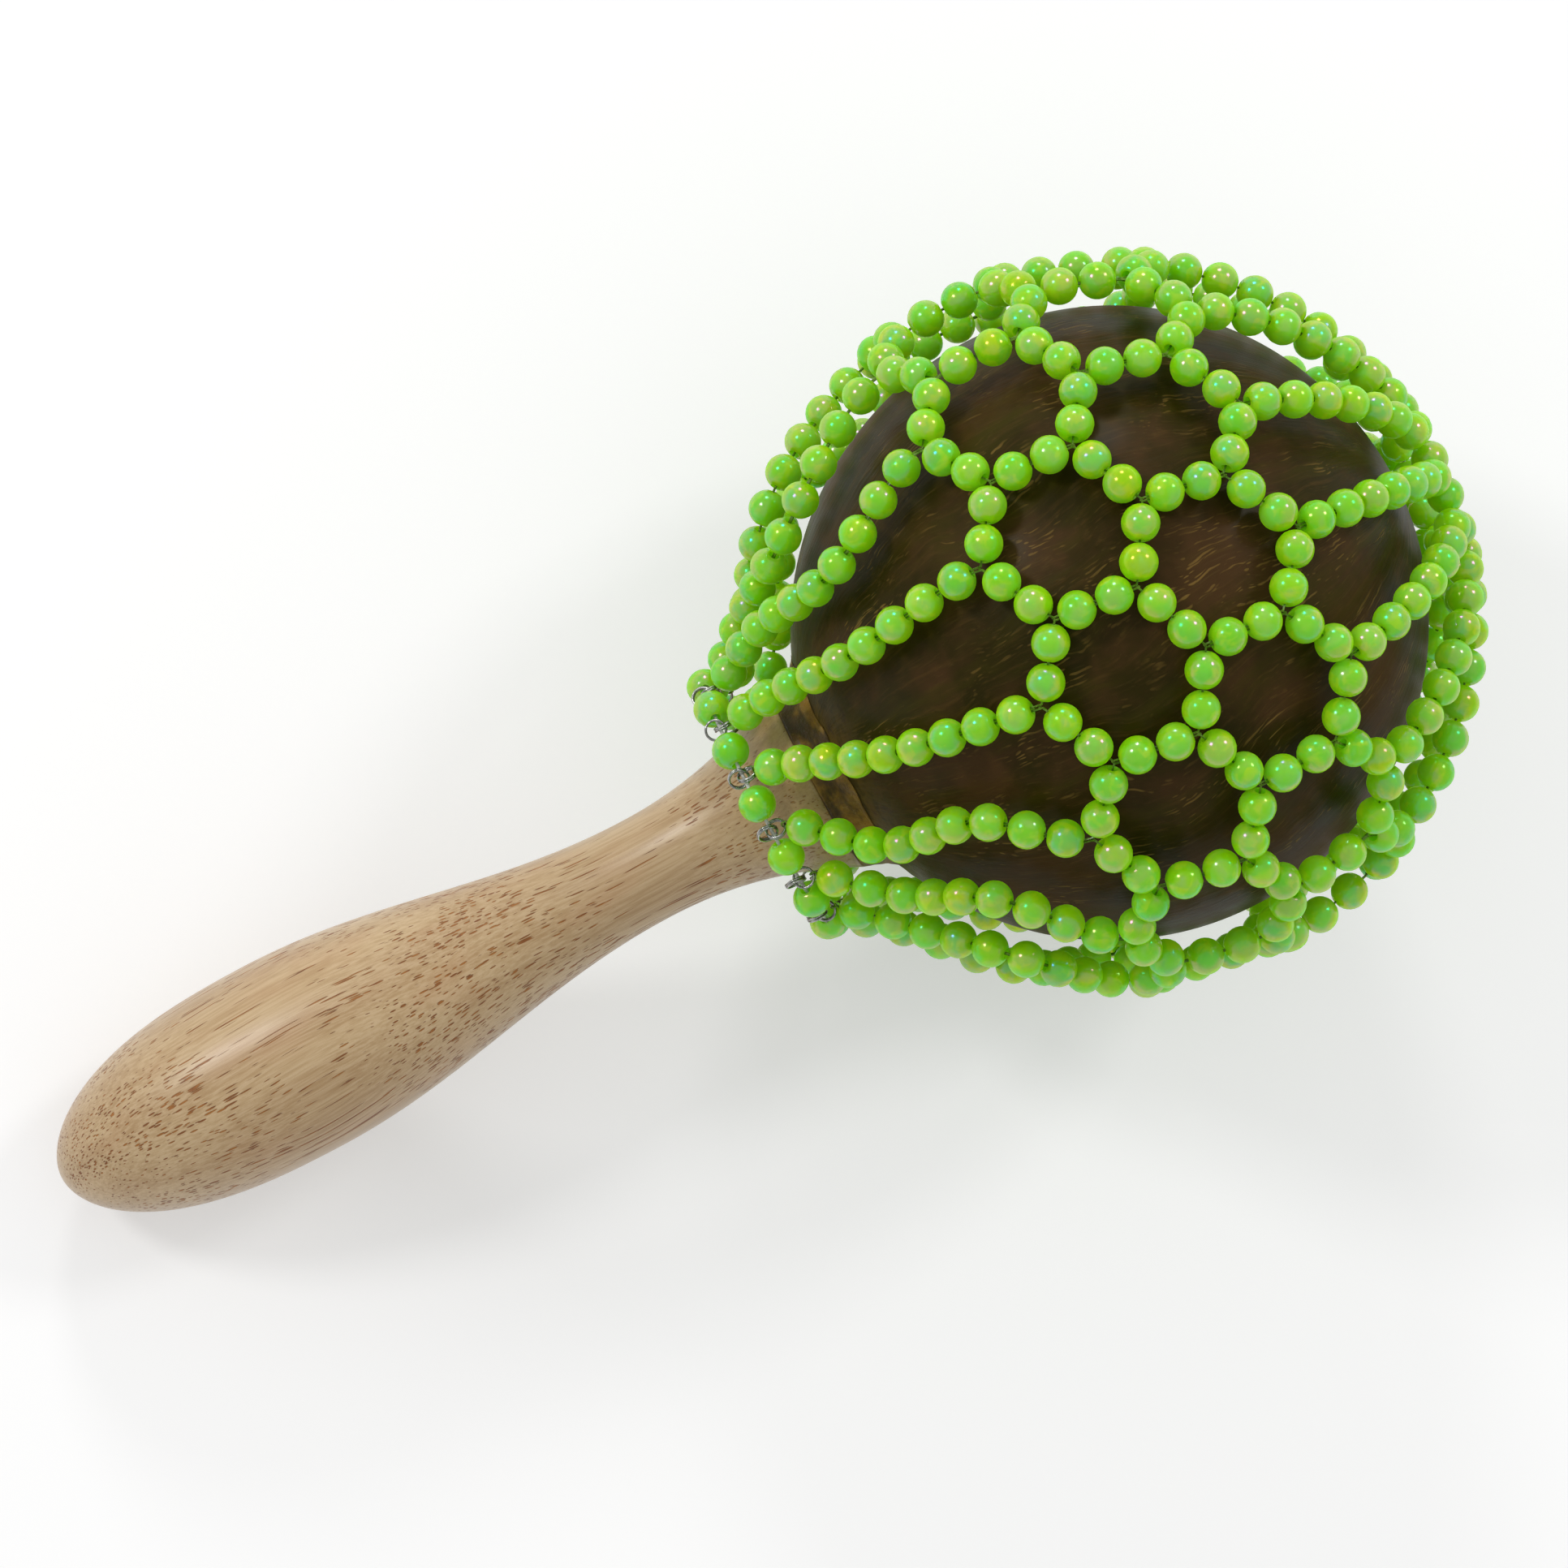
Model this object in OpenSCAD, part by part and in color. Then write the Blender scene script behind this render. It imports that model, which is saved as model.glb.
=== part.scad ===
// Hand shekere: a turned wooden handle glued into a coconut shell, inside a loose net of
// round beads. The net hangs from a jointed ring of beads and split rings round the neck,
// opens into three rows of six-sided meshes and closes on a ring of beads over the crown.
// The instrument lies on a table, on the belly of its handle and on its net.
// Lengths are in millimetres and angles in degrees.
// The inner frame has its origin in the middle of the shell, +X towards the crown along the
// handle's axis and +Z away from the table. on_table() takes it to the frame of the part.

/* [Coconut shell] */
// Diameter of the shell across its middle
shell_d = 123; // [110:1:135]
// Half length of the shell towards the handle
shell_neck_half = 62.7; // [58:0.1:68]
// Half length of the shell towards the crown
shell_crown_half = 61; // [56:0.1:66]
// Wall of the shell
shell_wall = 4; // [3:0.5:6]

/* [Handle] */
// Distance from the middle of the shell to the end of the handle's flare
flare_reach = 64.8; // [64:0.1:67]
// Diameter of the flare where it meets the shell
flare_d = 39; // [34:0.5:42]
// Length from the flare's end to the waist
flare_l = 38; // [32:0.5:44]
// Diameter of the waist
waist_d = 21; // [18:0.5:25]
// Length from the waist to the thickest place of the belly
belly_l = 79; // [65:1:95]
// Diameter of the belly, where the hand closes
belly_d = 40.2; // [34:0.2:46]
// Length from the belly to the rounded butt
butt_l = 51.7; // [42:0.5:62]
// Diameter of the tenon inside the shell
tenon_d = 19; // [14:0.5:20]
// How far the tenon reaches into the shell from the flare's end
tenon_l = 22; // [16:0.5:30]
// Gap between the wood, the glue and the shell
seat_gap = 0.1; // [0.05:0.05:0.2]
// How far the glue reaches along the shell from the edge of the flare
glue_spread = 6.5; // [4:0.5:8]

/* [Bead net] */
// Number of strands round the shell
strands = 14; // [14:14]
// Diameter of a bead
bead_d = 7.2; // [6.8:0.1:7.2]
// Diameter of the hole through a bead
bore_d = 2; // [1.8:0.1:2.2]
// Gap between two beads on one strand
bead_gap = 0.07; // [0.05:0.01:0.09]
// Gap between two beads on the slack strands by the neck
slack_gap = 0.14; // [0.14:0.02:0.3]
// How far the slack strands at the sides bow towards the top of the shell
slack_bow = 16; // [0:0.5:18]
// How far all the slack strands bow to one side
slack_lean = 2; // [0:0.5:3]
// Gap between the beads and the shell where the net lies on it
rest_gap = 0.3; // [0.2:0.05:0.6]
// How far the loose net hangs off the shell at its sides
net_slack = 4; // [2:0.5:6]
// Distance from a crossing of threads to the beads next to it
crossing_gap = 4.5; // [4.5:0.02:4.6]
// Latitude of the first crossings, counted from the middle of the shell
first_lat = -19.9; // [-21:0.1:-19.5]
// Turn of the net round the handle
net_spin = 17.5; // [0:0.5:25.5]
// Sideways drift of the meshes from the neck to the crown
net_twist = 2; // [0:0.5:6]
// How far the crown of the net sags towards the table
net_sag = 4.5; // [0:0.5:6]
// How far the crown of the net hangs over to one side
net_skew = 4.5; // [0:0.5:6]

/* [Neck ring] */
// Radius of the ring of beads round the neck, to the cord
neck_r = 26.3; // [25.5:0.1:28]
// Distance from the middle of the shell to the neck ring
neck_reach = 75.5; // [74:0.5:80]
// Turn of the neck ring against the first crossings
neck_lead = 23.5; // [0:0.5:26]
// Diameter of the cord through the neck beads
cord_d = 0.7; // [0.6:0.1:0.9]
// Diameter of the nylon thread through the strands
thread_d = 0.46; // [0.4:0.02:0.5]
// Diameter of a split ring, between the middles of its wire
link_d = 3.9; // [3.8:0.1:4]
// Diameter of the split rings' wire
wire_d = 0.5; // [0.4:0.05:0.55]

/* [Hidden] */
// Cuts run past the faces that they open
overrun = 1;
// Roundness of turned pieces and of beads
turned_sides = 96;
bead_sides = 48;
wire_sides = 24;
// Sides of a thread
thread_sides = 4;

// Shape of the handle as powers: how quickly the flare opens and how blunt the butt is
flare_power = 2.13;
butt_power = 2.6;
butt_root = 1.85;
flare_steps = 12;
belly_steps = 18;
butt_steps = 20;
shell_steps = 36;

pitch = bead_d + bead_gap;
slack_pitch = bead_d + slack_gap;
bead_r = bead_d / 2;
step = 360 / strands;
// Half the length of a bead along its hole
bead_half = sqrt(pow(bead_r, 2) - pow(bore_d / 2, 2));
// Each side of a mesh holds two beads between two crossings
mesh_side = pitch + 2 * crossing_gap;
// Radius of the bead centres where the net lies on the shell
net_r = shell_d / 2 + rest_gap + bead_r;
mesh_angle = mesh_side / net_r * 180 / PI;

// Latitudes of the six rows of crossings. A side along the strand climbs its whole angle,
// and a slanting side climbs what its half step round the shell leaves of it.
function climb_at(lat) = sqrt(pow(mesh_angle, 2) - pow(step / 2 * cos(lat), 2));
function climb(lat) = climb_at(lat + climb_at(lat) / 2);
lat_1 = first_lat;
lat_2 = lat_1 + climb(lat_1);
lat_3 = lat_2 + mesh_angle;
lat_4 = lat_3 + climb(lat_3);
lat_5 = lat_4 + mesh_angle;
lat_6 = lat_5 + climb(lat_5);
row_lat = [lat_1, lat_2, lat_3, lat_4, lat_5, lat_6];

// The crown ring is as narrow as its beads allow, and stands off the shell by the slack
crown_pitch = bead_d + thread_d * 0.6;
crown_r = crown_pitch / (2 * sin(step / 2));
crown_reach = shell_crown_half + rest_gap + bead_r + net_slack;
crown_lat = acos(crown_r / crown_reach);
// The last bead of a strand sits in the notch between two beads of the crown ring
notch_share = 0.97;
crown_gap = sqrt(pow(bead_d, 2) - pow(crown_pitch / 2, 2)) * notch_share;

// Small steps in which a strand's route is laid out, and the search for its sway
route_steps = 40;
sway_tries = 14;
// A strand takes one bead more if its straight route is short of room by no more than this,
// and sways to use it up. Room that is left over opens the gaps between its beads.
spare_l = 3;
most_sway = 14;
// The strand leaves the shell late, with this power of its length
leave_power = 4;
// The bow starts gently at the crossing, with this power of a half wave
bow_power = 1.7;
// How far the two tails of a thread lie off the middle of a bead's hole
tail_offset = thread_d * 0.65;
// How far out of an end bead its thread runs straight, as a share of half the bead
mouth_share = 1.05;
// The last row's threads open narrower, so its beads lie this much nearer the far crossing
end_shift = bead_d * 0.02;

// A link is two split rings that hook into each other, one turned half a right angle each way
link_lean = 45;
link_offset = link_d * 0.23;
link_stack = wire_d * 0.94;
// The thread's loop round a split ring: room beside the wire, beyond it and inside the ring
loop_side = link_stack / 2 + wire_d / 2 + thread_d / 2 + thread_d * 0.4;
loop_out = wire_d * 0.8;
loop_in = wire_d * 0.8;
loop_deep = wire_d / 2 + thread_d * 0.85;
// Room between the split ring and the first bead's centre
link_room = bead_half + wire_d * 2;
// The slack strand's first bead stands a little off its crossing
neck_gap = crossing_gap * 1.22;

function unit(v) = v / norm(v);
function mix(a, b, t) = a * (1 - t) + b * t;
function low_of(list) = min(list);
function high_of(list) = max(list);

// The sag turns the net's crown down about Y, and the skew turns it sideways about Z
function sagged(v) = [v.x * cos(net_sag) + v.z * sin(net_sag), v.y,
                      v.z * cos(net_sag) - v.x * sin(net_sag)];
function skewed(v) = [v.x * cos(net_skew) + v.y * sin(net_skew),
                      v.y * cos(net_skew) - v.x * sin(net_skew), v.z];
function net_dir(lat, lon) =
    skewed(sagged([sin(lat), cos(lat) * sin(lon), cos(lat) * cos(lon)]));

// Distance from the middle to the shell's face, and to the beads that lie on it
function shell_at(dir) =
    let (half = dir.x < 0 ? shell_neck_half : shell_crown_half)
    1 / sqrt(pow(dir.x / half, 2) + (1 - pow(dir.x, 2)) / pow(shell_d / 2, 2));
function laid_at(dir) = shell_at(dir) + rest_gap + bead_r;
function hung_at(dir) = laid_at(dir) + net_slack * (1 - pow(dir.z, 2));
function hung(v) = unit(v) * hung_at(unit(v));

// A column counts strands round the net, and half columns lie between two strands
function column_lon(column, lat) =
    net_spin + column * step
    - net_twist * min(1, (lat - lat_1) / (lat_6 - lat_1));
function crossing(row, column) =
    let (dir = net_dir(row_lat[row], column_lon(column, row_lat[row])))
    dir * hung_at(dir);

// The two beads on the side of a mesh
function side_beads(a, b, shift = 0) =
    let (share = pitch / norm(b - a) / 2, middle = 0.5 + shift / norm(b - a))
    [hung(mix(a, b, middle - share)), hung(mix(a, b, middle + share))];
function start_side(column, half) =
    side_beads(crossing(0, column), crossing(1, column + half));
function lower_side(column) = side_beads(crossing(1, column), crossing(2, column));
function middle_side(column, half) =
    side_beads(crossing(2, column + half), crossing(3, column));
function upper_side(column) = side_beads(crossing(3, column), crossing(4, column));
function end_side(column, half) =
    side_beads(crossing(4, column), crossing(5, column + half), end_shift);

// Lengths along a route of points, and the point at one length along it
function run_lengths(route, i = 0, sum = 0) =
    i == len(route) - 1 ? [sum]
    : concat([sum], run_lengths(route, i + 1, sum + norm(route[i + 1] - route[i])));
function route_l(route) =
    let (runs = [for (i = [1 : len(route) - 1]) norm(route[i] - route[i - 1])])
    runs * [for (i = [1 : len(route) - 1]) 1];
function point_along(route, lengths, far) =
    let (
        place = lookup(far, [for (i = [0 : len(route) - 1]) [lengths[i], i]]),
        i = min(floor(place), len(route) - 2)
    )
    mix(route[i], route[i + 1], place - i);

// A station is where a strand hangs on the neck ring: out from the axis, and round it
function station_turn(k) = net_spin + k * step + neck_lead;
function station_out(k) = [0, sin(station_turn(k)), cos(station_turn(k))];
function station_round(k) = [0, cos(station_turn(k)), -sin(station_turn(k))];
function station(k) = station_out(k) * neck_r - [neck_reach, 0, 0];
function hook(k) = station(k) + [link_offset + link_d / 2, 0, 0];

// A neck strand's route from its first crossing to its hook, with a sideways sway
function neck_point(k, sway, t) =
    let (
        side = sin(net_spin + k * step),
        bow = (slack_lean + slack_bow * side * abs(side)) * pow(sin(180 * t), bow_power)
            * (1 - pow(t, leave_power)),
        start = crossing(0, k),
        goal = hook(k),
        across = unit(cross(start, goal)),
        turn = acos(unit(start) * unit(goal)),
        dir = (unit(start) * sin(turn * (1 - t)) + unit(goal) * sin(turn * t)) / sin(turn),
        slack = net_slack * (1 - pow(dir.z, 2)) * (1 - t),
        lift = (norm(goal) - laid_at(unit(goal))) * pow(t, leave_power)
    )
    dir * (laid_at(dir) + slack + lift)
    + across * (bow + sway * sign(side) * sin(360 * t) * sin(180 * t));
function neck_route(k, sway) =
    [for (i = [0 : route_steps]) neck_point(k, sway, i / route_steps)];
function neck_count(k) =
    1 + floor((route_l(neck_route(k, 0)) + spare_l - neck_gap - link_room) / slack_pitch);
function neck_pitch(k) =
    max(slack_pitch,
        (route_l(neck_route(k, 0)) - neck_gap - link_room) / (neck_count(k) - 1));
function neck_need(k) = neck_gap + (neck_count(k) - 1) * slack_pitch + link_room;
function find_sway(k, need, low = 0, high = most_sway, tries = sway_tries) =
    let (middle = (low + high) / 2)
    tries == 0 ? middle
    : route_l(neck_route(k, middle)) < need ? find_sway(k, need, middle, high, tries - 1)
    : find_sway(k, need, low, middle, tries - 1);
function neck_beads_of(k) =
    let (
        route = neck_route(k, find_sway(k, neck_need(k))),
        lengths = run_lengths(route)
    )
    [for (i = [0 : neck_count(k) - 1])
        point_along(route, lengths, neck_gap + i * neck_pitch(k))];

// A crown strand's route, from the last crossing to the crown ring, holds the beads that fit
function crown_point(column, t) =
    let (
        lat = lat_6 + (crown_lat - lat_6) * t,
        dir = net_dir(lat, column_lon(column, lat_6))
    )
    dir * mix(hung_at(dir), crown_reach, t);
function crown_strand(column) =
    let (
        route = [for (i = [0 : route_steps]) crown_point(column, i / route_steps)],
        lengths = run_lengths(route)
    )
    [for (i = [0 : floor((route_l(route) - crossing_gap - crown_gap) / pitch)])
        point_along(route, lengths, crossing_gap + i * pitch)];

// Every strand's neck beads and crown beads, worked out once
NECK = [for (k = [0 : strands - 1]) neck_beads_of(k)];
CROWN = [for (k = [0 : strands - 1]) crown_strand(k + 0.5)];
CROWN_RING = [for (k = [0 : strands - 1])
    net_dir(crown_lat, column_lon(k, lat_6)) * crown_reach];

// Directions of the holes through a run of beads between two end points
function holes(beads, before, after) =
    let (all = concat([before], beads, [after]))
    [for (i = [1 : len(beads)]) unit(all[i + 1] - all[i - 1])];

// All the beads of one strand, as runs with the points at their two ends
function strand_runs(k) = concat(
    [[NECK[k], crossing(0, k), hook(k)]],
    [for (half = [-0.5, 0.5])
        [start_side(k, half), crossing(0, k), crossing(1, k + half)]],
    [[lower_side(k + 0.5), crossing(1, k + 0.5), crossing(2, k + 0.5)]],
    [for (half = [-0.5, 0.5])
        [middle_side(k, half), crossing(2, k + half), crossing(3, k)]],
    [[upper_side(k), crossing(3, k), crossing(4, k)]],
    [for (half = [-0.5, 0.5])
        [end_side(k, half), crossing(4, k), crossing(5, k + half)]],
    [[CROWN[k], crossing(5, k + 0.5), crown_point(k + 0.5, 1)]]);
ALL_BEADS = [for (k = [0 : strands - 1]) for (run = strand_runs(k)) each run[0]];

// The handle's outline, as distances from the shell's middle and radii
function flare_radius(t) = waist_d / 2 + (flare_d - waist_d) / 2 * pow(1 - t, flare_power);
function belly_radius(t) =
    waist_d / 2 + (belly_d - waist_d) / 2 * (1 - cos(180 * t)) / 2;
function butt_radius(t) = belly_d / 2 * pow(1 - pow(t, butt_power), 1 / butt_root);
waist_reach = flare_reach + flare_l;
belly_reach = waist_reach + belly_l;
butt_reach = belly_reach + butt_l;
handle_outline = concat(
    [for (i = [0 : flare_steps - 1])
        [flare_reach + flare_l * i / flare_steps, flare_radius(i / flare_steps)]],
    [for (i = [0 : belly_steps - 1])
        [waist_reach + belly_l * i / belly_steps, belly_radius(i / belly_steps)]],
    [for (i = [0 : butt_steps - 1])
        let (t = sin(90 * i / butt_steps))
        [belly_reach + butt_l * t, butt_radius(t)]],
    [[butt_reach, 0]]);

// The part lies where the handle's belly and the net's lowest bead are level
function handle_low(tilt) =
    low_of([for (p = handle_outline) -p[0] * sin(tilt) - p[1] * cos(tilt)]);
function net_low(tilt) =
    low_of([for (p = ALL_BEADS) p.x * sin(tilt) + p.z * cos(tilt)]) - bead_r;
function find_tilt(low = 5, high = 25, tries = 20) =
    let (middle = (low + high) / 2)
    tries == 0 ? middle
    : handle_low(middle) > net_low(middle) ? find_tilt(middle, high, tries - 1)
    : find_tilt(low, middle, tries - 1);
rest_tilt = find_tilt();
rest_z = -min(net_low(rest_tilt), handle_low(rest_tilt));
back_x = low_of([for (p = handle_outline)
    -p[0] * cos(rest_tilt) - p[1] * sin(rest_tilt)]);
front_x = high_of([for (p = concat(ALL_BEADS, CROWN_RING))
    p.x * cos(rest_tilt) - p.z * sin(rest_tilt)]) + bead_r;
left_y = high_of([for (p = ALL_BEADS) p.y]) + bead_r;
right_y = low_of([for (p = ALL_BEADS) p.y]) - bead_r;

// From the inner frame to the part's own frame, on the table under its middle
module on_table() {
    translate([-(back_x + front_x) / 2, -(left_y + right_y) / 2, rest_z])
        rotate([0, -rest_tilt, 0])
            children();
}

// Turns an outline of distances towards the handle and radii about the handle's axis
module turned(outline) {
    rotate([0, -90, 0])
        rotate_extrude($fn = turned_sides)
            polygon([for (p = outline) [p[1], p[0]]]);
}

// Points child +Z along a direction at a place
module aimed(place, dir) {
    translate(place)
        rotate([0, acos(dir.z), atan2(dir.y, dir.x)])
            children();
}

module bead() {
    difference() {
        sphere(d = bead_d, $fn = bead_sides);
        cylinder(h = bead_d + overrun, d = bore_d, center = true, $fn = wire_sides);
    }
}

module bead_run(beads, before, after) {
    dirs = holes(beads, before, after);
    for (i = [0 : len(beads) - 1])
        aimed(beads[i], dirs[i])
            bead();
}

// A split ring: two turns of wire, one on the other, closed where they lie together
module split_ring() {
    rotate_extrude($fn = turned_sides)
        translate([link_d / 2, 0])
            union() {
                for (turn = [-1, 1])
                    translate([0, turn * link_stack / 2])
                        circle(d = wire_d, $fn = wire_sides);
                square([wire_d / 2, link_stack], center = true);
            }
}

// One unbroken tube through a list of points
module tube(points, d, sides) {
    n = len(points);
    dirs = [for (i = [0 : n - 1])
        unit(points[min(i + 1, n - 1)] - points[max(i - 1, 0)])];
    seed = abs(dirs[0].x) < 0.8 ? [1, 0, 0] : [0, 1, 0];
    ups = carried_ups(dirs, unit(cross(dirs[0], seed)));
    ring = [for (i = [0 : n - 1]) for (j = [0 : sides - 1])
        points[i] + d / 2 * (ups[i] * cos(360 * j / sides)
            + cross(dirs[i], ups[i]) * sin(360 * j / sides))];
    walls = [for (i = [0 : n - 2]) for (j = [0 : sides - 1])
        let (a = i * sides + j, b = i * sides + (j + 1) % sides)
        each [[a, a + sides, b], [b, a + sides, b + sides]]];
    start = [for (j = [1 : sides - 2]) [0, j, j + 1]];
    stop = [for (j = [1 : sides - 2])
        [(n - 1) * sides, (n - 1) * sides + j + 1, (n - 1) * sides + j]];
    polyhedron(points = ring, faces = concat(start, walls, stop), convexity = 10);
}

// Carries a tube's first side direction along it, so that it never twists
function carried_ups(dirs, up, i = 0) =
    i == len(dirs) ? []
    : let (level = unit(up - dirs[i] * (dirs[i] * up)))
      concat([level], carried_ups(dirs, level, i + 1));

// A thread's points through a run of beads, off the middle of the holes by aside
function through(beads, dirs, aside) =
    [for (i = [0 : len(beads) - 1])
        beads[i] + cross(unit(beads[i]), dirs[i]) * aside];
// A slack strand bends between its beads, halfway between the mouths of their holes, and
// runs straight out of its two end beads
function mouth(beads, dirs, i, end) = beads[i] + dirs[i] * end * bead_half;
function through_slack(beads, dirs, aside) =
    let (
        n = len(beads),
        sides = [for (i = [0 : n - 1]) cross(dirs[i], unit(beads[i])) * aside]
    )
    concat(
        [mouth(beads, dirs, 0, -mouth_share) + sides[0]],
        [for (i = [0 : n - 2])
            each [beads[i] + sides[i],
                  mix(mouth(beads, dirs, i, 1), mouth(beads, dirs, i + 1, -1), 0.5)
                      + sides[i]]],
        [beads[n - 1] + sides[n - 1],
         mouth(beads, dirs, n - 1, mouth_share) + sides[n - 1]]);
function beside(place, from, to, aside) =
    place + cross(unit(place), unit(to - from)) * aside;

// One tail of strand k's thread, from its hook to the crown ring on the side of turn
function neck_tail(k, turn) =
    let (
        beads = NECK[k],
        dirs = holes(beads, crossing(0, k), hook(k)),
        out = through_slack(beads, dirs, turn * tail_offset)
    )
    [for (i = [len(out) - 1 : -1 : 0]) out[i]];
function net_tail(k, turn) =
    let (
        half = turn / 2,
        aside = turn * tail_offset,
        j = [for (row = [0 : 5])
            crossing(row, row == 0 || row == 3 || row == 4 ? k : k + half)],
        start = start_side(k, half),
        lower = lower_side(k + half),
        middle = middle_side(k, half),
        upper = upper_side(k),
        end = end_side(k, half),
        crown = crown_strand(k + half),
        cord = crown_point(k + half, 1),
        in_crown = through(crown, holes(crown, j[5], cord), -aside),
        n = len(crown),
        last = crown[n - 1],
        away = unit(cord)
    )
    concat(
        [beside(j[0], NECK[k][0], start[0], aside * 1.3)],
        start,
        [beside(j[1], j[1], lower[0], -aside)],
        through(lower, holes(lower, j[1], j[2]), -aside),
        [beside(j[2], lower[1], j[2], -aside)],
        middle,
        [beside(j[3], j[3], upper[0], aside)],
        through(upper, holes(upper, j[3], j[4]), aside),
        [beside(j[4], upper[1], j[4], aside)],
        end,
        [beside(j[5], j[5], crown[0], -aside)],
        [for (i = [0 : n - 2]) in_crown[i]],
        [last + (in_crown[n - 1] - last + away * aside) * sqrt(0.5),
         cord + unit(last - cord) * (norm(last - cord) - bead_half) + away * aside,
         cord + away * turn * (cord_d + thread_d) * 0.55]);
// The fold of a thread round its split ring
function fold(k) =
    let (
        beside_wire = station_round(k) * cos(link_lean) + station_out(k) * sin(link_lean),
        along = [1, 0, 0]
    )
    concat(
        [for (along_out = [loop_out, -loop_in])
            hook(k) + along * along_out - beside_wire * loop_side],
        [hook(k) - along * loop_deep],
        [for (along_out = [-loop_in, loop_out])
            hook(k) + along * along_out + beside_wire * loop_side]);
function whole_thread(k) =
    let (
        left = concat(neck_tail(k, -1), net_tail(k, -1)),
        right = concat(neck_tail(k, 1), net_tail(k, 1))
    )
    concat([for (i = [len(left) - 1 : -1 : 0]) left[i]], fold(k), right);

module handle() {
    color("burlywood")
        on_table()
            turned(concat(
                [[flare_reach - tenon_l, 0], [flare_reach - tenon_l, tenon_d / 2],
                 [flare_reach, tenon_d / 2]],
                handle_outline));
}

function shell_outline(inset) =
    [for (i = [0 : shell_steps])
        let (
            turn = 180 * i / shell_steps,
            half = turn < 90 ? shell_neck_half : shell_crown_half
        )
        [cos(turn) * (half - inset), sin(turn) * (shell_d / 2 - inset)]];

module coconut_shell() {
    color("#3a2a14")
        on_table()
            difference() {
                turned(shell_outline(0));
                turned(shell_outline(shell_wall));
                rotate([0, -90, 0])
                    cylinder(h = shell_neck_half + overrun, d = tenon_d + 2 * seat_gap,
                             $fn = turned_sides);
            }
}

// The glue and wood dust that fill the corner between the flare and the round shell
module glue_fillet() {
    glue_r = flare_d / 2 + glue_spread * 0.7;
    // Distance towards the handle at which the shell has a radius
    function shell_reach(r) =
        (shell_neck_half + seat_gap) * sqrt(1 - pow(r / (shell_d / 2 + seat_gap), 2));
    steps = 8;
    inner = tenon_d / 2 + seat_gap;
    color("#8a5a24")
        on_table()
            turned(concat(
                [for (i = [0 : steps])
                    let (r = mix(inner, glue_r, i / steps))
                    [shell_reach(r), r]],
                [for (i = [1 : steps])
                    let (t = i / steps)
                    mix([shell_reach(glue_r), glue_r],
                        [flare_reach - seat_gap, flare_d / 2], t)
                    - [1, 1] * sin(180 * t) * glue_spread * 0.08],
                [[flare_reach - seat_gap, inner]]));
}

module neck_cord() {
    color("white")
        on_table()
            translate([-neck_reach, 0, 0])
                rotate([0, 90, 0])
                    rotate_extrude($fn = turned_sides)
                        translate([neck_r, 0])
                            circle(d = cord_d, $fn = wire_sides);
}

module neck_beads() {
    color("yellowgreen")
        on_table()
            for (k = [0 : strands - 1])
                aimed(station(k + 0.5), station_round(k + 0.5))
                    bead();
}

module link_rings(side) {
    color("silver")
        on_table()
            for (k = [0 : strands - 1])
                aimed(station(k) + [side * link_offset, 0, 0],
                      station_round(k) * cos(link_lean)
                      + station_out(k) * side * sin(link_lean))
                    split_ring();
}

module strand_split_rings() {
    link_rings(1);
}

module neck_split_rings() {
    link_rings(-1);
}

module crown_cord() {
    color("white")
        on_table()
            aimed(net_dir(90, 0) * crown_reach * sin(crown_lat), net_dir(90, 0))
                rotate_extrude($fn = turned_sides)
                    translate([crown_r, 0])
                        circle(d = cord_d, $fn = wire_sides);
}

module crown_beads() {
    pole = net_dir(90, 0);
    color("yellowgreen")
        on_table()
            for (place = CROWN_RING)
                aimed(place, unit(cross(pole, place)))
                    bead();
}

module strand_beads(k) {
    color("yellowgreen")
        on_table()
            for (run = strand_runs(k))
                bead_run(run[0], run[1], run[2]);
}

module thread(k) {
    color("white")
        on_table()
            tube(whole_thread(k), thread_d, thread_sides);
}

handle();
coconut_shell();
glue_fillet();
neck_cord();
neck_beads();
strand_split_rings();
neck_split_rings();
crown_cord();
crown_beads();
for (k = [1 : strands])
    strand_beads(k - 1);
for (k = [1 : strands])
    thread(k - 1);
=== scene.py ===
import math
import random

import bpy
import numpy as np
from mathutils import Matrix, Vector, noise


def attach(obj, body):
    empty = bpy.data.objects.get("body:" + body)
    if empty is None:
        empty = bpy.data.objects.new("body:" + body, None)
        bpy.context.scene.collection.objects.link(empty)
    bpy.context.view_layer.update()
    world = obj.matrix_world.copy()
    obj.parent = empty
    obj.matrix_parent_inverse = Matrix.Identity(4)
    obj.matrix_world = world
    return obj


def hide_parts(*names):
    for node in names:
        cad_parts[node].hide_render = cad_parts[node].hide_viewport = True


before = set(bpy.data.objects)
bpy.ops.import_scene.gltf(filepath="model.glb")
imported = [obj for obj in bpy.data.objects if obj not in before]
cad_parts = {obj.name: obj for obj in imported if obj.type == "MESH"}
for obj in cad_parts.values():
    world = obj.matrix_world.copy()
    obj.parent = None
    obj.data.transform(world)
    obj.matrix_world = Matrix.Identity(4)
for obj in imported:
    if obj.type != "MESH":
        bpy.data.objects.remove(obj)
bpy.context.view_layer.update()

MM = 0.001

# The inner frame, in millimetres: its origin is the middle of the shell, and +X runs along the
# handle's axis towards the crown. In the part's own frame, in metres, that origin is at MIDDLE,
# and the axis leans up from +X by TILT.
TILT = math.radians(14.3707)
MIDDLE = Vector((0.0770446, 0.0005052, 0.0693169))
TURN = Matrix.Rotation(-TILT, 3, "Y")


def to_row(points):
    """Points of the inner frame as points of the part's own frame."""
    return np.asarray(points, float) * MM @ np.array(TURN).T + np.array(MIDDLE)


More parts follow.
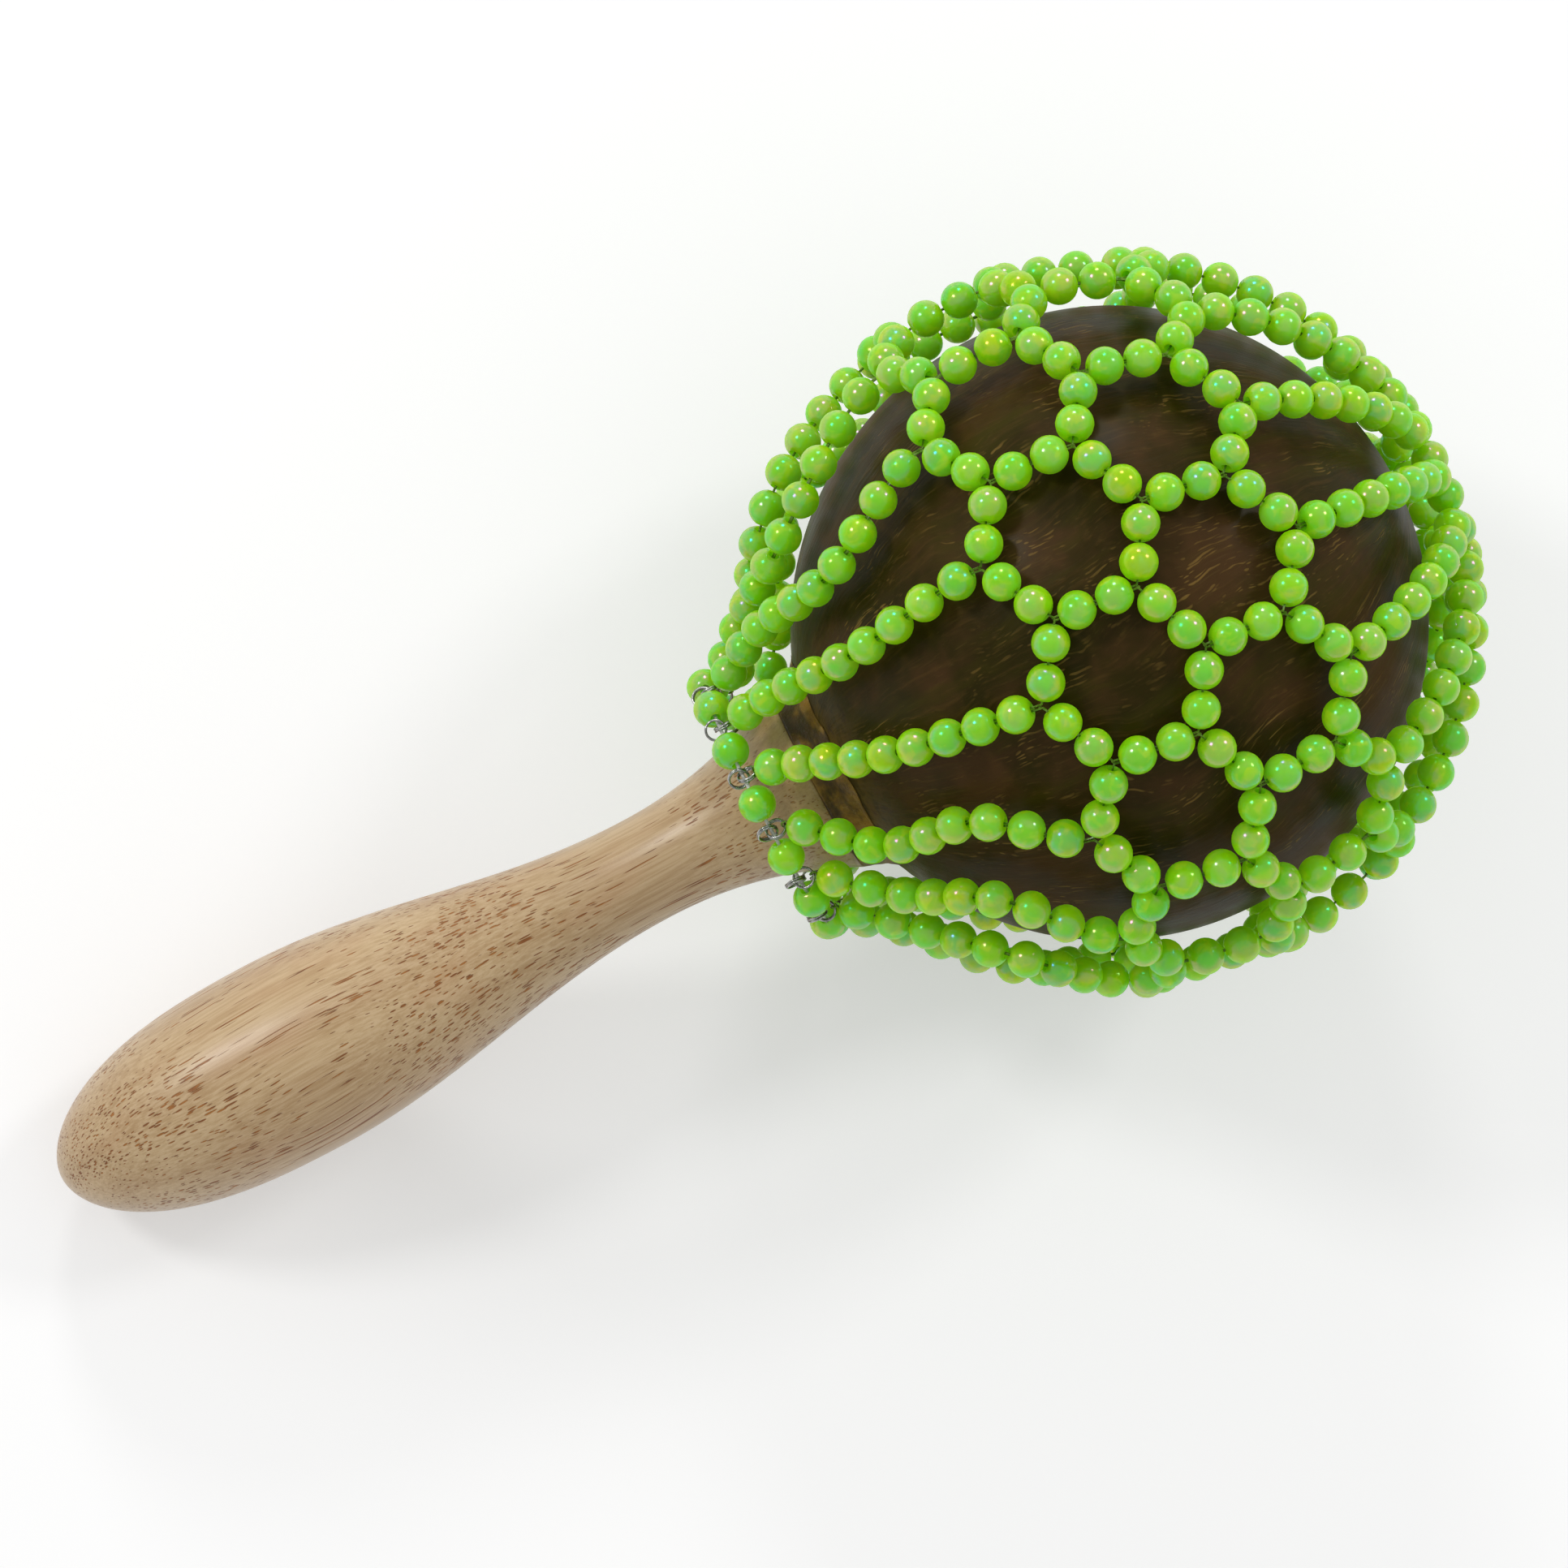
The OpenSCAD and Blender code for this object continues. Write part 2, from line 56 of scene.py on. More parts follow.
def place_object(name, data):
    thing = bpy.data.objects.new(name, data)
    bpy.context.scene.collection.objects.link(thing)
    return thing


# Node trees

class Nodes:
    """Fills the node tree of a world or a material. A value is a number, a vector or a socket."""

    def __init__(self, owner):
        owner.use_nodes = True
        self.tree = owner.node_tree
        self.tree.nodes.clear()

    def put(self, node, key, value):
        if isinstance(value, bpy.types.NodeSocket):
            self.tree.links.new(value, node.inputs[key])
        else:
            node.inputs[key].default_value = value

    def make(self, kind, inputs, **settings):
        node = self.tree.nodes.new("ShaderNode" + kind)
        for key, value in settings.items():
            setattr(node, key, value)
        for key, value in inputs.items():
            self.put(node, key, value)
        return node

    def node(self, kind, inputs, out=0, **settings):
        """One output of a new node."""
        return self.make(kind, inputs, **settings).outputs[out]

    def math(self, operation, a, b, clamp=False):
        return self.node("Math", {0: a, 1: b}, operation=operation, use_clamp=clamp)

    def plus(self, a, b):
        return self.math("ADD", a, b)

    def minus(self, a, b):
        return self.math("SUBTRACT", a, b)

    def times(self, a, b):
        return self.math("MULTIPLY", a, b)

    def larger(self, a, b):
        return self.math("MAXIMUM", a, b)

    def ramp(self, value, low, high, to_low=0.0, to_high=1.0):
        return self.node("MapRange", {0: value, 1: low, 2: high, 3: to_low, 4: to_high},
                         interpolation_type="SMOOTHSTEP")

    def seen_ray(self):
        """1 for rays from the camera, and for those that metal and glass send on."""
        path = self.make("LightPath", {}).outputs
        seen = self.larger(path["Is Camera Ray"], path["Is Glossy Ray"])
        return self.larger(seen, path["Is Transmission Ray"])


class Paint(Nodes):
    """A material on one Principled shader."""

    def __init__(self, name):
        self.mat = bpy.data.materials.new(name)
        super().__init__(self.mat)
        self.shader = self.make("BsdfPrincipled", {})
        self.make("OutputMaterial", {"Surface": self.shader.outputs[0]})

    def set(self, **values):
        for key, value in values.items():
            self.put(self.shader, key.replace("_", " "), value)

    def bump(self, height, distance, strength):
        self.set(Normal=self.node("Bump", {"Height": height, "Distance": distance,
                                           "Strength": strength}))

    def own(self):
        """Coordinates in the part's own frame."""
        return self.node("TexCoord", {}, out="Object")

    def inner(self):
        """Coordinates in the inner frame."""
        back = TURN.transposed()
        level = self.node("Mapping", {"Vector": self.own(), "Rotation": tuple(back.to_euler()),
                                      "Location": tuple(back @ MIDDLE * -1)})
        return self.scaled(level, 1 / MM)

    def vector(self, operation, a, b=(0, 0, 0)):
        return self.node("VectorMath", {0: a, 1: b}, operation=operation)

    def scaled(self, vector, size):
        return self.node("VectorMath", {0: vector, "Scale": size}, operation="SCALE")

    def stretch(self, vector, x, y, z, shift=(0, 0, 0)):
        return self.node("Mapping", {"Vector": vector, "Scale": (x, y, z), "Location": shift})

    def mix(self, share, a, b):
        return self.node("Mix", {0: share, 6: a, 7: b}, out=2, data_type="RGBA")

    def noise(self, vector, scale=1.0, detail=2.0, rough=0.5, warp=0.0, out="Fac"):
        return self.node("TexNoise", {"Vector": vector, "Scale": scale, "Detail": detail,
                                      "Roughness": rough, "Distortion": warp}, out=out)

    def wander(self, vector, scale, detail, reach):
        """An offset that changes slowly from place to place."""
        way = self.vector("SUBTRACT", self.noise(vector, scale, detail, out="Color"), (.5, .5, .5))
        return self.scaled(way, reach)

    def streaks(self, vector, along, across, shift, half_width, gain):
        """1 inside many short random streaks along X, and 0 outside them."""
        far = self.node("TexVoronoi", {"Vector": self.stretch(vector, along, across, across, shift),
                                       "Scale": 1.0, "Randomness": 1.0})
        return self.math("MULTIPLY", self.minus(half_width, far), gain, clamp=True)


# Camera, lights and floor

# The photograph's width, its focal length and the place of the shell's middle, in its own pixels,
# and the camera's distance from there in metres
PICTURE = 1932.0
FOCAL = 6350.0
SHELL_PIXEL = (1370.0, 767.0)
DISTANCE = 1.0
# The direction of the handle's axis in the picture, and how far it leans towards the camera
AXIS_TURN = math.radians(27.9)
AXIS_LEAN = math.radians(4)
SENSOR = 36.0
NEAREST, FARTHEST = 0.01, 50.0

# Each lamp's direction from the shell, as the camera sees it, and its power
LAMPS = {"lamp_left": ((-.61, .39, .70), 16.0),
         "lamp_top": ((-.06, .95, .38), 14.0),
         "lamp_right": ((.68, .52, .52), 12.0)}
LAMP_REACH = 2.6
LAMP_SIZE = .54

FLOOR_REACH = 6.0
FLOOR_SIDES = 96
FLOOR_DROP = .0002
FLOOR_GREY = (.70, .70, .70, 1)
FLOOR_GLOW = .37


def make_camera():
    """The photograph's camera, almost straight above the part. Returns how it is turned."""
    axis = Vector((math.cos(AXIS_LEAN) * math.cos(AXIS_TURN),
                   math.cos(AXIS_LEAN) * math.sin(AXIS_TURN),
                   math.sin(AXIS_LEAN)))
    up = (Vector((0, 0, 1)) - axis * axis.z).normalized()
    turn = TURN @ Matrix((axis, up.cross(axis), up))
    shell = Vector(((SHELL_PIXEL[0] - PICTURE / 2) / FOCAL,
                    (PICTURE / 2 - SHELL_PIXEL[1]) / FOCAL, -1.0)) * DISTANCE
    data = bpy.data.cameras.new("camera")
    data.sensor_width = SENSOR
    data.lens = FOCAL / PICTURE * SENSOR
    data.clip_start = NEAREST
    data.clip_end = FARTHEST
    camera = place_object("camera", data)
    camera.matrix_world = Matrix.Translation(MIDDLE - turn @ shell) @ turn.to_4x4()
    bpy.context.scene.camera = camera
    return turn


def make_lamp(name, direction, power, turn):
    """A round soft lamp above the shell."""
    data = bpy.data.lights.new(name, "AREA")
    data.shape = "DISK"
    data.size = LAMP_SIZE
    data.energy = power
    lamp = place_object(name, data)
    way = (turn @ Vector(direction)).normalized()
    lamp.location = MIDDLE + way * LAMP_REACH
    lamp.rotation_euler = way.to_track_quat("Z", "Y").to_euler()
    lamp.visible_camera = False


def make_world():
    """A studio with a pale backdrop at the level of the floor and a soft light overhead."""
    world = bpy.data.worlds.new("studio")
    bpy.context.scene.world = world
    n = Nodes(world)
    height = n.node("SeparateXYZ", {0: n.node("TexCoord", {}, out="Generated")}, out="Z")
    backdrop = n.ramp(height, .04, .30, .20, 0.0)
    overhead = n.ramp(height, .15, .85, .68, .70)
    glow = n.node("Background", {"Strength": n.plus(backdrop, overhead)})
    n.make("OutputWorld", {"Surface": glow})


def make_floor():
    """A wide pale floor. It is a little brighter to the camera than its light makes it."""
    angles = [math.tau * i / FLOOR_SIDES for i in range(FLOOR_SIDES)]
    rim = [(FLOOR_REACH * math.cos(angle), FLOOR_REACH * math.sin(angle), 0) for angle in angles]
    faces = [(0, i + 1, (i + 1) % FLOOR_SIDES + 1) for i in range(FLOOR_SIDES)]
    mesh = bpy.data.meshes.new("floor")
    mesh.from_pydata([(0, 0, 0)] + rim, [], faces)
    floor = place_object("floor", mesh)
    floor.location.z = -FLOOR_DROP
    paint = bpy.data.materials.new("floor_paint")
    n = Nodes(paint)
    body = n.node("BsdfDiffuse", {"Color": FLOOR_GREY})
    glow = n.node("Emission", {"Strength": n.times(n.seen_ray(), FLOOR_GLOW)})
    n.make("OutputMaterial", {"Surface": n.node("AddShader", {0: body, 1: glow})})
    mesh.materials.append(paint)


# Materials

def wood():
    p = Paint("pale_wood_grain")
    place = p.inner()
    # the grain wanders a little about the handle's axis
    grain = p.vector("ADD", place, p.wander(p.stretch(place, .012, .03, .03), 1.0, 1.0, 7.0))
    broad = p.noise(p.stretch(grain, .010, .16, .16), detail=3.0, rough=.6)
    fine = p.noise(p.stretch(grain, .05, 2.2, 2.2), detail=4.0, rough=.65)
    tone = p.mix(p.ramp(broad, .28, .72), (.42, .256, .106, 1), (.55, .382, .192, 1))
    tone = p.mix(p.times(p.ramp(fine, .38, .66), .42), tone, (.67, .500, .308, 1))
    tone = p.mix(p.times(p.ramp(fine, .58, .30), .30), tone, (.33, .185, .078, 1))
    # warmer cloudy patches
    cloud = p.noise(p.stretch(place, .05, .09, .09, (3, 1, 7)))
    tone = p.mix(p.times(p.ramp(cloud, .45, .75), .30), tone, (.50, .27, .13, 1))
    # open pores: thin vessels that weave along the grain and show where the surface cuts them
    vessel = p.vector("ADD", grain, p.wander(place, .055, 1.0, 1.3))
    layer = p.noise(p.stretch(grain, .008, .13, .13, (11, 4, 2)), rough=.6)
    pores = 0.0
    for along, across, narrow, wide, shift in ((.013, 1.38, .180, .275, (0, 0, 0)),
                                               (.030, 1.66, .100, .250, (9, 5, 2)),
                                               (.009, 1.16, .070, .240, (4, 8, 1))):
        half_width = p.ramp(layer, .34, .62, narrow, wide)
        pores = p.larger(pores, p.streaks(vessel, along, across, shift, half_width, 18.0))
    shade = p.noise(p.stretch(place, .3, .6, .6, (2, 6, 9)), detail=1.0)
    hollow = p.mix(p.ramp(shade, .35, .65), (.215, .060, .003, 1), (.37, .130, .014, 1))
    tone = p.mix(p.times(pores, .94), tone, hollow)
    # glue and dust wiped over the end of the flare
    smear = p.noise(place, .22, 4.0, .65)
    edge = p.plus(p.node("SeparateXYZ", {0: place}), p.times(p.minus(smear, .5), 16.0))
    stain = p.mix(p.ramp(smear, .35, .65), (.28, .140, .022, 1), (.47, .285, .085, 1))
    tone = p.mix(p.times(p.ramp(edge, -92.0, -66.0), .62), tone, stain)
    # fine turning marks round the handle
    marks = p.noise(p.stretch(place, 2.6, .05, .05), rough=.7)
    height = p.plus(p.times(marks, .30), p.times(fine, .35))
    p.bump(p.minus(height, p.times(pores, .9)), .00020, .8)
    p.set(Base_Color=tone, Roughness=p.ramp(fine, .3, .7, .38, .54),
          Coat_Weight=p.ramp(pores, 0.0, 1.0, .75, .15), Coat_Roughness=.31,
          Specular_IOR_Level=.4)
    return p.mat


def shell_skin():
    p = Paint("polished_shell_fibres")
    place = p.inner()
    x = p.node("SeparateXYZ", {0: place})
    # the fibres run along the meridians and wander off them
    around = p.vector("NORMALIZE", p.vector("MULTIPLY", place, (0, 1, 1)))
    lengthways = p.vector("MULTIPLY", p.node("CombineXYZ", {0: x}), (.016, 0, 0))
    route = p.vector("ADD", lengthways, around)
    route = p.vector("ADD", route, p.wander(place, .035, 2.0, .22))
    mottle = p.noise(place, .045, 4.0, .62)
    broad = p.noise(p.stretch(route, 1.6, 7, 7), detail=3.0, rough=.6)
    fibre = p.noise(p.stretch(route, 3.2, 46, 46, (3, 3, 3)), detail=4.0, rough=.62)
    thin = p.noise(p.stretch(route, 5.0, 120, 120, (7, 1, 5)), rough=.6)
    tone = p.mix(p.ramp(mottle, .36, .64), (.026, .0185, .0010, 1), (.064, .030, .0090, 1))
    tone = p.mix(p.times(p.ramp(broad, .46, .70), .55), tone, (.052, .042, .002, 1))
    tone = p.mix(p.times(p.ramp(fibre, .50, .74), .42), tone, (.095, .050, .012, 1))
    tone = p.mix(p.times(p.ramp(thin, .60, .78), .20), tone, (.15, .10, .030, 1))
    # golden fibres left in the surface, as short streaks that curl a little
    curl = p.vector("ADD", route, p.wander(place, .16, 2.0, .045))
    gold = 0.0
    for along, across, half_width, gain, shift in ((3.0, 52.0, .26, 11.0, (1, 8, 4)),
                                                   (5.5, 74.0, .28, 9.0, (6, 2, 9)),
                                                   (1.5, 34.0, .14, 16.0, (3, 5, 7))):
        gold = p.larger(gold, p.streaks(curl, along, across, shift, half_width, gain))
    where = p.noise(p.stretch(route, 5.0, 6.5, 6.5, (5, 5, 5)))
    gold = p.times(gold, p.ramp(where, .46, .72))
    tone = p.mix(p.times(gold, .60), tone, (.25, .145, .035, 1))
    # paler and more olive towards the neck
    smudge = p.noise(place, .20, 4.0, .66)
    neck = p.ramp(p.plus(x, p.times(p.minus(smudge, .5), 30.0)), -50.0, -60.0)
    olive = p.mix(p.ramp(smudge, .36, .62), (.050, .032, .001, 1), (.20, .120, .012, 1))
    tone = p.mix(p.times(neck, .80), tone, olive)
    height = p.plus(p.times(fibre, .6), p.times(broad, .8))
    p.bump(p.plus(height, p.times(gold, .25)), .00035, .55)
    p.set(Base_Color=tone, Roughness=p.ramp(mottle, .3, .7, .36, .54), IOR=1.16,
          Coat_Weight=.03, Coat_Roughness=.2)
    return p.mat


def glue():
    p = Paint("wood_dust_glue")
    place = p.inner()
    clot = p.noise(place, .16, 5.0, .68)
    grit = p.noise(place, 1.3, 3.0, .6)
    stain = p.noise(p.stretch(place, .22, .10, .10, (4, 2, 8)), detail=3.0, rough=.6)
    tone = p.mix(p.ramp(clot, .34, .66), (.110, .050, .004, 1), (.32, .165, .022, 1))
    tone = p.mix(p.times(p.ramp(grit, .5, .72), .35), tone, (.40, .26, .080, 1))
    tone = p.mix(p.times(p.ramp(stain, .46, .60), .85), tone, (.042, .022, .005, 1))
    p.bump(p.plus(clot, p.times(grit, .35)), .0009, .8)
    p.set(Base_Color=tone, Roughness=p.ramp(clot, .3, .7, .34, .58), IOR=1.3, Coat_Weight=.12,
          Coat_Roughness=.2)
    return p.mat


def lime_bead():
    """The mesh gives each bead a tint and a film of its own, both from 0 to 1."""
    p = Paint("lime_iridescent_bead")
    tint = p.node("Attribute", {}, out="Fac", attribute_name="tint")
    film = p.node("Attribute", {}, out="Fac", attribute_name="film")
    place = p.vector("ADD", p.own(), p.node("CombineXYZ", {0: film, 1: tint}))
    cloud = p.noise(place, 230.0, warp=.3)
    glint_and_bump_veil = p.noise(p.vector("ADD", place, (.4, .1, .7)), 330.0, warp=.6)
    tone = p.mix(tint, (.165, .47, .0015, 1), (.27, .53, .002, 1))
    # painted reflections: soft teal and yellow patches, placed at random on each bead, stand in for
    # glints from its film and from inside it
    tone = p.mix(p.times(p.ramp(cloud, .42, .66), .50), tone, (.17, .51, .08, 1))
    tone = p.mix(p.times(p.ramp(glint_and_bump_veil, .50, .68), .50), tone, (.48, .58, .01, 1))
    # the coating is a thin clear film, 180 nanometres thick or more
    thick = p.plus(p.plus(p.times(film, 330.0), p.times(cloud, 260.0)), 180.0)
    p.bump(glint_and_bump_veil, .00006, .35)
    # painted glow: the beads give off a little green light of their own, which lifts their shaded
    # sides and flattens their shading
    p.set(Base_Color=tone, Roughness=.19, IOR=1.32, Subsurface_Weight=1.0,
          Subsurface_Radius=(1.0, 1.4, .4), Subsurface_Scale=.0055, Sheen_Weight=1.0,
          Sheen_Roughness=.42, Sheen_Tint=(.40, 1.0, .0, 1), Emission_Color=(.18, .52, .002, 1),
          Emission_Strength=.18, Thin_Film_Thickness=thick, Thin_Film_IOR=1.66)
    return p.mat


def steel():
    p = Paint("plated_steel_wire")
    place = p.own()
    wear = p.noise(place, 900.0, 4.0, .6)
    streak = p.noise(p.stretch(place, 2600, 2600, 500))
    tone = p.mix(p.ramp(wear, .35, .7), (.24, .24, .23, 1), (.55, .55, .53, 1))
    p.bump(streak, .00003, .4)
    p.set(Base_Color=tone, Metallic=1.0, Roughness=p.ramp(wear, .3, .7, .16, .32))
    return p.mat


def nylon():
    """Clear thread. The green light that the beads round it throw on it is painted into its colour,
    which is kept dark as painted shade between them.
    """
    p = Paint("clear_nylon_thread")
    haze = p.noise(p.own(), 700.0, 3.0, .6)
    # painted light: the beads' green glow and the shade between them are in the thread's own colour
    tone = p.mix(p.ramp(haze, .35, .7), (.13, .30, .01, 1), (.32, .50, .07, 1))
    p.bump(haze, .00004, .4)
    p.set(Base_Color=tone, Roughness=p.ramp(haze, .3, .7, .20, .34), Transmission_Weight=.35,
          Subsurface_Weight=.6, Subsurface_Radius=(1.0, 1.0, 1.0), Subsurface_Scale=.0004,
          IOR=1.3)
    return p.mat


def twine():
    p = Paint("white_beading_cord")
    yarn = p.noise(p.own(), 2400.0, 3.0, .6)
    tone = p.mix(p.ramp(yarn, .35, .65), (.55, .54, .50, 1), (.88, .88, .85, 1))
    p.bump(yarn, .00008, .6)
    p.set(Base_Color=tone, Roughness=.6, Transmission_Weight=.1)
    return p.mat


# Meshes

# Corners of a CAD mesh that share a cell of this size, in metres, are one corner
WELD = 2e-6
# Smaller radii than this are points on the axis
ON_AXIS = 1e-9


def new_piece(name, verts, faces, material, body, slot, *nodes, attributes=None):
    """A smooth mesh that rides a body and stands for CAD nodes. Without nodes it is extra."""
    mesh = bpy.data.meshes.new(name)
    mesh.from_pydata([tuple(v) for v in verts], [], [tuple(f) for f in faces])
    mesh.polygons.foreach_set("use_smooth", [True] * len(mesh.polygons))
    for key, values in (attributes or {}).items():
        mesh.attributes.new(key, "FLOAT", "POINT").data.foreach_set("value", values)
    mesh.materials.append(material)
    mesh.update()
    piece = place_object(name, mesh)
    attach(piece, body)
    if nodes:
        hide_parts(*nodes)


def lathe(outline, sides, shape=None):
    """Turns an outline of distances along the axis and radii about the axis +X. A radius of zero
    is one point. shape may move each point that it is given."""
    verts, rings = [], []
    for x, r in outline:
        count = 1 if r < ON_AXIS else sides
        rings.append((len(verts), count))
        for j in range(count):
            turn = math.tau * j / sides
            point = (x, r * math.sin(turn), r * math.cos(turn))
            verts.append(shape(point) if shape else point)
    faces = []
    for (a, na), (b, nb) in zip(rings, rings[1:]):
        for j in range(sides):
            k = (j + 1) % sides
            if na == 1 and nb > 1:
                faces.append((a, b + j, b + k))
            elif nb == 1 and na > 1:
                faces.append((a + j, b, a + k))
            elif na > 1:
                faces.append((a + j, b + j, b + k, a + k))
    return verts, faces


def tube(points, radius, sides, closed=False):
    """A wire along a list of points, with flat ends unless it closes."""
    points = np.asarray(points, float)
    count = len(points)
    if closed:
        ways = np.roll(points, -1, 0) - np.roll(points, 1, 0)
    else:
        ways = np.gradient(points, axis=0)
    ways /= np.linalg.norm(ways, axis=1)[:, None]
    up = np.cross(ways[0], (.3, .5, .81))
    verts = []
    for i in range(count):
        up = up - ways[i] * (up @ ways[i])
        up /= np.linalg.norm(up)
        side = np.cross(ways[i], up)
        for j in range(sides):
            turn = math.tau * j / sides
            verts.append(points[i] + radius * (up * math.cos(turn) + side * math.sin(turn)))
    faces = []
    for i in range(count if closed else count - 1):
        a, b = i * sides, (i + 1) % count * sides
        for j in range(sides):
            k = (j + 1) % sides
            faces.append((a + j, a + k, b + k, b + j))
    if not closed:
        faces.append(tuple(range(sides - 1, -1, -1)))
        faces.append(tuple((count - 1) * sides + j for j in range(sides)))
    return verts, faces


def joined(meshes):
    """Many small meshes as one."""
    verts, faces = [], []
    for more_verts, more_faces in meshes:
        faces += [tuple(i + len(verts) for i in face) for face in more_faces]
        verts += more_verts
    return verts, faces


def beside(normal, seed):
    """Two directions at right angles to a normal and to each other."""
    side = np.cross(normal, seed)
    side /= np.linalg.norm(side)
    return side, np.cross(normal, side)


def islands(node):
    """The separate solids of a CAD node, each as all the corners and its own triangles."""
    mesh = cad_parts[node].data
    mesh.calc_loop_triangles()
    corners = np.zeros(len(mesh.vertices) * 3)
    mesh.vertices.foreach_get("co", corners)
    corners = corners.reshape(-1, 3)
    keys, same = np.unique(np.round(corners / WELD).astype(np.int64), axis=0, return_inverse=True)
    same = same.ravel()
    tris = np.zeros(len(mesh.loop_triangles) * 3, np.int64)
    mesh.loop_triangles.foreach_get("vertices", tris)
    tris = same[tris.reshape(-1, 3)]
    places = np.zeros((len(keys), 3))
    places[same] = corners
    # each corner takes the lowest label of the triangles that meet there, until none changes
    label = np.arange(len(keys))
    while True:
        low = label[tris].min(axis=1)
        fresh = label.copy()
        for side in range(3):
            np.minimum.at(fresh, tris[:, side], low)
        fresh = fresh[fresh]
        if (fresh == label).all():
            break
        label = fresh
    groups = {}
    for i, mark in enumerate(label[tris[:, 0]]):
        groups.setdefault(int(mark), []).append(i)
    return [(places, tris[rows]) for rows in groups.values()]


# Handle, shell and glue

# Lengths and diameters in millimetres, from the middle of the shell along the axis
FLARE_REACH, FLARE_L, FLARE_D, WAIST_D = 64.8, 38.0, 39.0, 21.0
BELLY_L, BELLY_D, BUTT_L, TENON_D, TENON_L = 79.0, 40.2, 51.7, 19.0, 22.0
SHELL_D, SHELL_NECK, SHELL_CROWN, SHELL_WALL = 123.0, 62.7, 61.0, 4.0
SEAT, TENON_EDGE = .1, .4
# How the flare opens and how full the rounded end of the handle is
FLARE_POWER, BUTT_POWER, BUTT_ROOT = 2.13, 2.6, 1.85
# The flats on the shell: their depth, how far out they begin, and where they end at the neck
DENT_DEPTH, DENTS_OUTSIDE, DENTS_END = .35, 58.5, -57.0
# The fillet, with the shares of its spread that it takes on the shell and for its hollow face
GLUE_SPREAD, GLUE_ON_SHELL, GLUE_HOLLOW = 6.5, .7, .08
# Its uneven edge: the least distance from the flare, the width of the change, and its reach
SMEAR_START, SMEAR_FADE, SMEAR_REACH = .3, 3.0, 1.9
ON_SHELL = .01
HANDLE_SIDES, SHELL_SIDES, GLUE_SIDES = 128, 160, 144
FLARE_STEPS, BELLY_STEPS, BUTT_STEPS, SHELL_STEPS, GLUE_STEPS = 40, 60, 60, 96, 14


def handle_outline():
    tenon_end = FLARE_REACH - TENON_L
    waist = FLARE_REACH + FLARE_L
    belly = waist + BELLY_L
    outline = [(tenon_end, 0), (tenon_end, TENON_D / 2 - TENON_EDGE),
               (tenon_end + TENON_EDGE, TENON_D / 2), (FLARE_REACH, TENON_D / 2)]
    for i in range(FLARE_STEPS):
        t = i / FLARE_STEPS
        outline.append((FLARE_REACH + FLARE_L * t,
                        WAIST_D / 2 + (FLARE_D - WAIST_D) / 2 * (1 - t) ** FLARE_POWER))
    for i in range(BELLY_STEPS):
        t = i / BELLY_STEPS
        outline.append((waist + BELLY_L * t,
                        WAIST_D / 2 + (BELLY_D - WAIST_D) / 2 * (1 - math.cos(math.pi * t)) / 2))
    for i in range(BUTT_STEPS):
        t = math.sin(math.pi / 2 * i / BUTT_STEPS)
        outline.append((belly + BUTT_L * t,
                        BELLY_D / 2 * (1 - t ** BUTT_POWER) ** (1 / BUTT_ROOT)))
    outline.append((belly + BUTT_L, 0))
    return [(-x, r) for x, r in outline]


def make_handle(material):
    verts, faces = lathe(handle_outline(), HANDLE_SIDES)
    new_piece("turned_handle", to_row(verts), faces, material, "shell_and_handle", "pale_wood",
              "handle")


def shell_curve(depth):
    """From the crown to the edge of the tenon's hole, at a depth below the shell's outer face."""
    hole = TENON_D / 2 + SEAT
    radius = SHELL_D / 2 - depth
    curve = []
    for i in range(SHELL_STEPS + 1):
        turn = math.pi * i / SHELL_STEPS
        half = (SHELL_CROWN if turn < math.pi / 2 else SHELL_NECK) - depth
        curve.append((math.cos(turn) * half, math.sin(turn) * radius))
    curve = [(x, r) for x, r in curve if x > 0 or r > hole]
    return curve + [(-math.sqrt(1 - (hole / radius) ** 2) * (SHELL_NECK - depth), hole)]


def dented(point):
    """The scraped shell is not quite round: shallow flats and swellings, all within its size."""
    near = Vector(point)
    if near.length < DENTS_OUTSIDE or near.x < DENTS_END:
        return point
    low = noise.noise(near * .028 + Vector((5, 2, 9))) * .5 + noise.noise(near * .075) * .2
    near *= 1 - (low + .35) * DENT_DEPTH / near.length
    return tuple(near)


def make_shell(material):
    verts, faces = lathe(shell_curve(0) + shell_curve(SHELL_WALL)[::-1], SHELL_SIDES, dented)
    new_piece("scraped_shell", to_row(verts), faces, material, "shell_and_handle",
              "polished_shell", "coconut_shell")


def shell_at(r):
    """How far from the middle the shell's neck is at a radius, with the glue's seat on it."""
    return (SHELL_NECK + SEAT) * math.sqrt(1 - (r / (SHELL_D / 2 + SEAT)) ** 2)


def smeared(point):
    """Glue and wood dust are wiped round the joint by hand, so the edge wanders on the shell."""
    near = Vector(point)
    r = math.hypot(near.y, near.z)
    if r < FLARE_D / 2 + SMEAR_START:
        return point
    share = min(1, (r - FLARE_D / 2) / SMEAR_FADE)
    low = noise.noise(near * .16 + Vector((1, 7, 3))) * .9 + noise.noise(near * .5) * .35
    grown = r - share * max(0, .50 + low) * SMEAR_REACH
    on_shell = abs(-near.x - shell_at(r)) < ON_SHELL
    return (-shell_at(grown) if on_shell else near.x, near.y * grown / r, near.z * grown / r)


